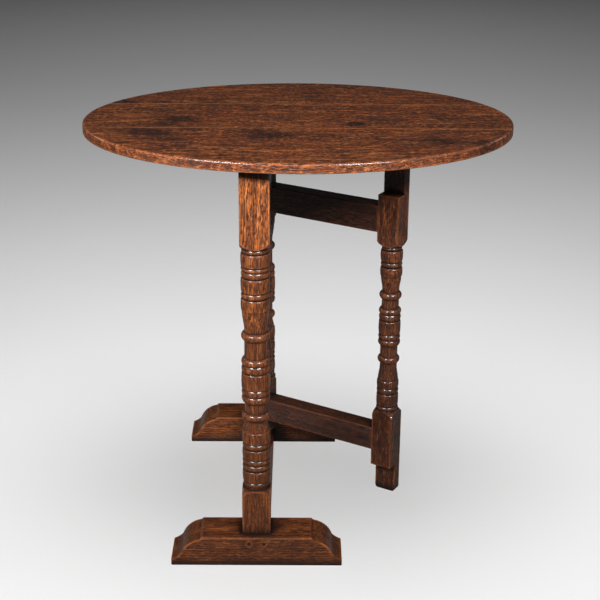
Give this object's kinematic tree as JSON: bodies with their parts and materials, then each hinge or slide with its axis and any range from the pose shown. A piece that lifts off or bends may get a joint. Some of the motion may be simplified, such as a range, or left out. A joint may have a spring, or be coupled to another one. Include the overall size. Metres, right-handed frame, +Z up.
{
  "type": "tilt top table",
  "caption": "Small oval oak table: a tilting top on a turned trestle frame with sledge feet, held level by a swinging turned gate leg.",
  "frame": {"origin": "on the floor under the centre of the top", "axes": "+X along the top's long axis and its grain, to the side of the gate leg; +Y from the front foot to the rear foot; +Z up"},
  "size_m": [0.612, 0.49, 0.601],
  "materials": {
    "top_oak": "waxed and polished dark oak",
    "frame_oak": "waxed and polished oak",
    "gate_oak": "waxed and polished dark oak",
    "peg_oak": "dark end grain",
    "pin_steel": "dull",
    "screw_steel": "dull"
  },
  "bodies": {
    "frame": {"front_foot": "frame_oak", "rear_foot": "frame_oak", "front_post": "frame_oak", "rear_post": "frame_oak", "low_stretcher": "frame_oak", "top_rail": "frame_oak", "front_foot_pegs": "peg_oak", "rear_foot_pegs": "peg_oak", "front_rail_pegs": "peg_oak", "rear_rail_pegs": "peg_oak"},
    "gate": {"gate_pivot_post": "gate_oak", "gate_leg": "gate_oak", "gate_lower_rail": "gate_oak", "gate_upper_rail": "gate_oak", "gate_bottom_pin": "pin_steel", "gate_top_pin": "pin_steel"},
    "top": {"top_board_front": "top_oak", "top_board_middle": "top_oak", "top_board_rear": "top_oak", "front_bearer": "frame_oak", "rear_bearer": "frame_oak", "front_tilt_pin": "peg_oak", "rear_tilt_pin": "peg_oak", "bearer_screws": "screw_steel"}
  },
  "joints": [
    {"name": "gate_swing", "type": "hinge", "parent": "frame", "child": "gate", "pos_m": [-0.0565, 0.118, 0.27], "axis": [0, 0, 1], "range_deg": [-59, 31]},
    {"name": "top_tilt", "type": "hinge", "parent": "frame", "child": "top", "pos_m": [-0.0565, 0, 0.5634], "axis": [0, 1, 0], "range_deg": [-9, 0]}
  ]
}
